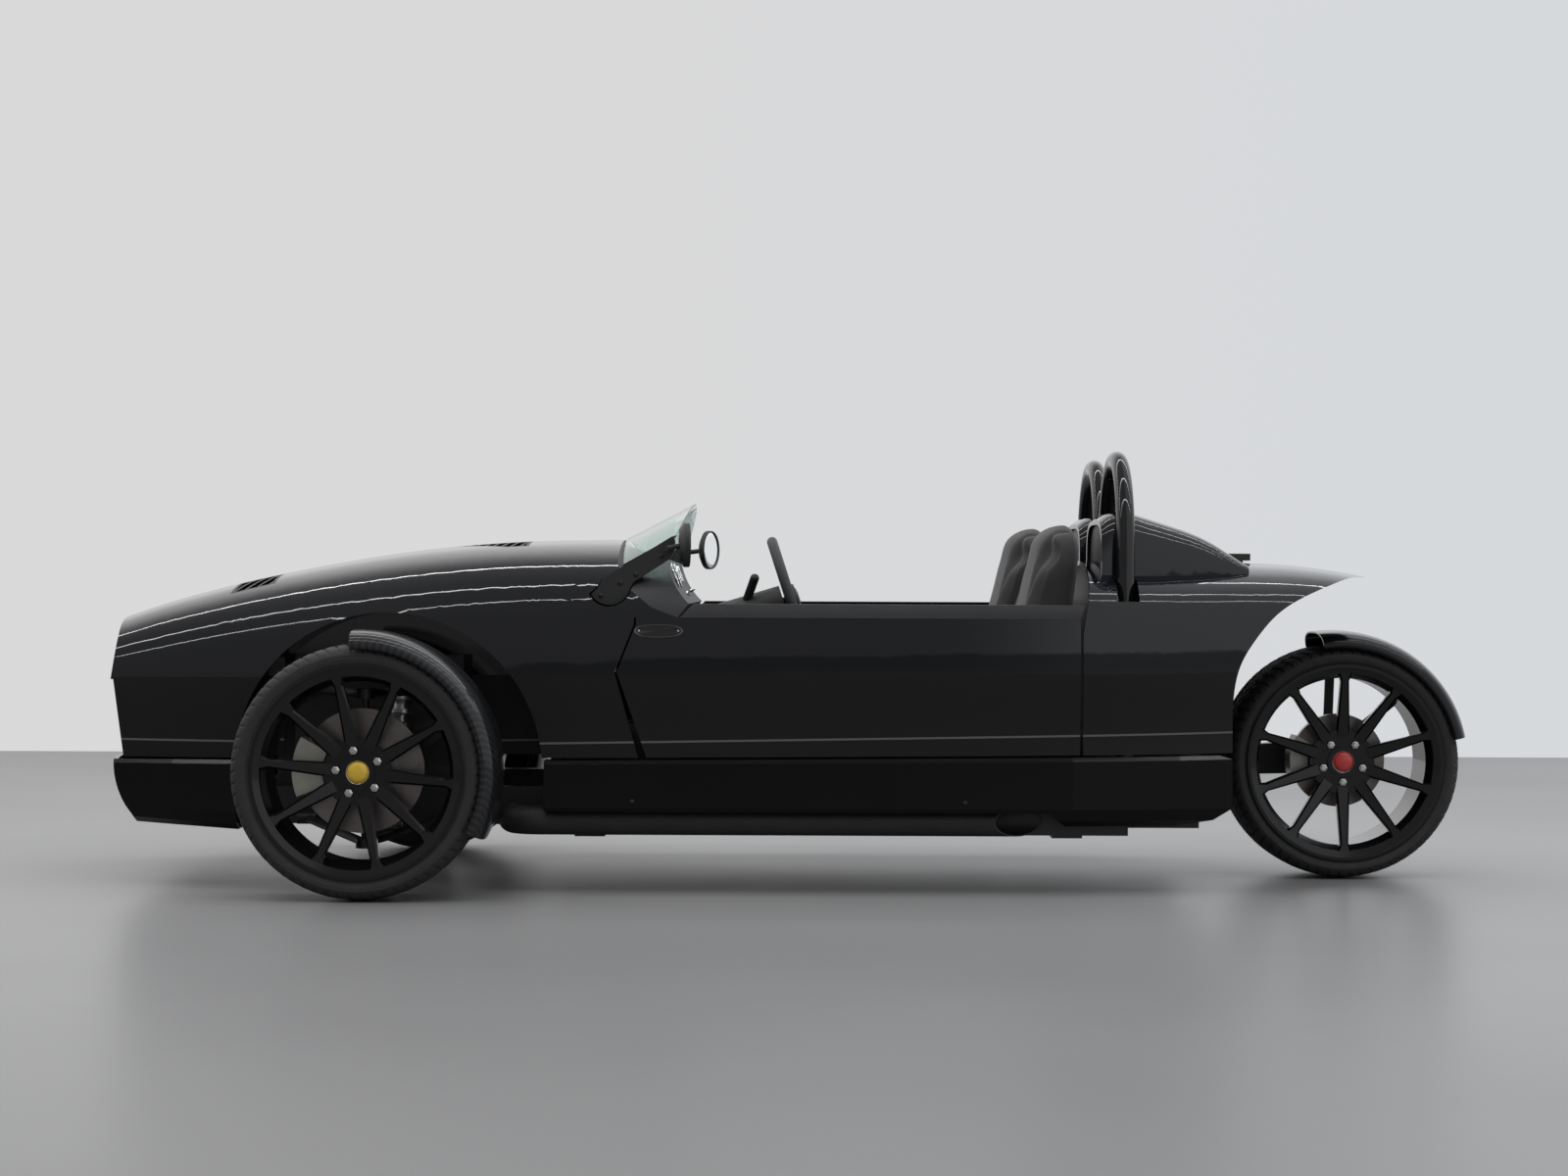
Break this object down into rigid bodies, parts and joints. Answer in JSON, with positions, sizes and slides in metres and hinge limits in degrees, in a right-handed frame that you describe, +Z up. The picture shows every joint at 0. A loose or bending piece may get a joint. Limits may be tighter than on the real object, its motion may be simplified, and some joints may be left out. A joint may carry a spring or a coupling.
{
  "type": "three wheeled car",
  "caption": "Open two seat three wheeled car with steered front wheels, a single rear wheel on a swing arm, low doors and roll hoops.",
  "frame": {"origin": "on the floor, under the middle of the car's length and width", "axes": "+Z up, +X to the rear of the car, +Y to its right side"},
  "size_m": [3.7345, 1.7588, 1.1739],
  "materials": {
    "body_paint": "gloss",
    "chassis_paint": "satin",
    "hoop_paint": "gloss",
    "rim_paint": "gloss",
    "exhaust_black": "matte",
    "bracket_black": "satin",
    "trim_black": "matte",
    "dark_leather": "matte",
    "lamp_lens": "clear",
    "red_lens": "gloss",
    "screen_glass": "clear",
    "carbon_weave": "woven",
    "tyre_rubber": "matte",
    "bare_steel": "satin",
    "caliper_silver": "satin",
    "cast_engine": "rough"
  },
  "bodies": {
    "chassis": {"chassis_tub": "chassis_paint", "front_body": "body_paint", "rear_body": "body_paint", "front_valance": "body_paint", "side_sills": "body_paint", "exhaust_pipes": "exhaust_black", "grille": "trim_black", "headlamps": "lamp_lens", "stop_lamp": "red_lens", "tail_lamps": "red_lens", "hood_vents": "trim_black", "windscreen_frame": "bracket_black", "windscreen_glass": "screen_glass", "dash_panel": "dark_leather", "door_mirrors": "bracket_black", "seats": "dark_leather", "steering_column": "trim_black", "roll_hoops": "hoop_paint", "engine_block": "cast_engine", "front_wishbones": "chassis_paint", "drive_shafts": "bare_steel", "front_dampers": "bare_steel", "swing_arm": "chassis_paint", "rear_mudguard": "body_paint", "rear_caliper": "caliper_silver"},
    "steering_wheel": {"steering_wheel": "dark_leather"},
    "door_left": {"door_left": "body_paint", "door_trim_left": "dark_leather"},
    "knuckle_left": {"knuckle_left": "chassis_paint", "front_caliper_left": "caliper_silver", "front_mudguard_left": "carbon_weave"},
    "front_wheel_left": {"front_rim_left": "rim_paint", "front_tyre_left": "tyre_rubber", "front_disc_left": "bare_steel"},
    "door_right": {"door_right": "body_paint", "door_trim_right": "dark_leather"},
    "knuckle_right": {"knuckle_right": "chassis_paint", "front_caliper_right": "caliper_silver", "front_mudguard_right": "carbon_weave"},
    "front_wheel_right": {"front_rim_right": "rim_paint", "front_tyre_right": "tyre_rubber", "front_disc_right": "bare_steel"},
    "rear_wheel": {"rear_rim": "rim_paint", "rear_tyre": "tyre_rubber", "rear_disc": "bare_steel"}
  },
  "joints": [
    {"name": "front_left_wheel_spin", "type": "hinge", "parent": "knuckle_left", "child": "front_wheel_left", "pos_m": [-1.107, -0.757, 0.327], "axis": [0, 1, 0], "continuous": true},
    {"name": "front_right_wheel_spin", "type": "hinge", "parent": "knuckle_right", "child": "front_wheel_right", "pos_m": [-1.107, 0.757, 0.327], "axis": [0, 1, 0], "continuous": true},
    {"name": "rear_wheel_spin", "type": "hinge", "parent": "chassis", "child": "rear_wheel", "pos_m": [1.528, 0, 0.3235], "axis": [0, 1, 0], "continuous": true},
    {"name": "steer_left", "type": "hinge", "parent": "chassis", "child": "knuckle_left", "pos_m": [-1.107, -0.69, 0.327], "axis": [0, 0, 1], "range_deg": [-28, 28]},
    {"name": "steer_right", "type": "hinge", "parent": "chassis", "child": "knuckle_right", "pos_m": [-1.107, 0.69, 0.327], "axis": [0, 0, 1], "range_deg": [-28, 28]},
    {"name": "steering_wheel_turn", "type": "hinge", "parent": "chassis", "child": "steering_wheel", "pos_m": [-0.009, -0.3, 0.768], "axis": [0.9511, 0, 0.309], "range_deg": [-370, 370]},
    {"name": "door_left_hinge", "type": "hinge", "parent": "chassis", "child": "door_left", "pos_m": [-0.4615, -0.643, 0.53], "axis": [0, 0, -1], "range_deg": [0, 60]},
    {"name": "door_right_hinge", "type": "hinge", "parent": "chassis", "child": "door_right", "pos_m": [-0.4615, 0.643, 0.53], "axis": [0, 0, 1], "range_deg": [0, 60]}
  ],
  "couplings": [
    {"joint": "steer_right", "follows": "steer_left", "ratio": 1},
    {"joint": "steering_wheel_turn", "follows": "steer_left", "ratio": 13}
  ]
}
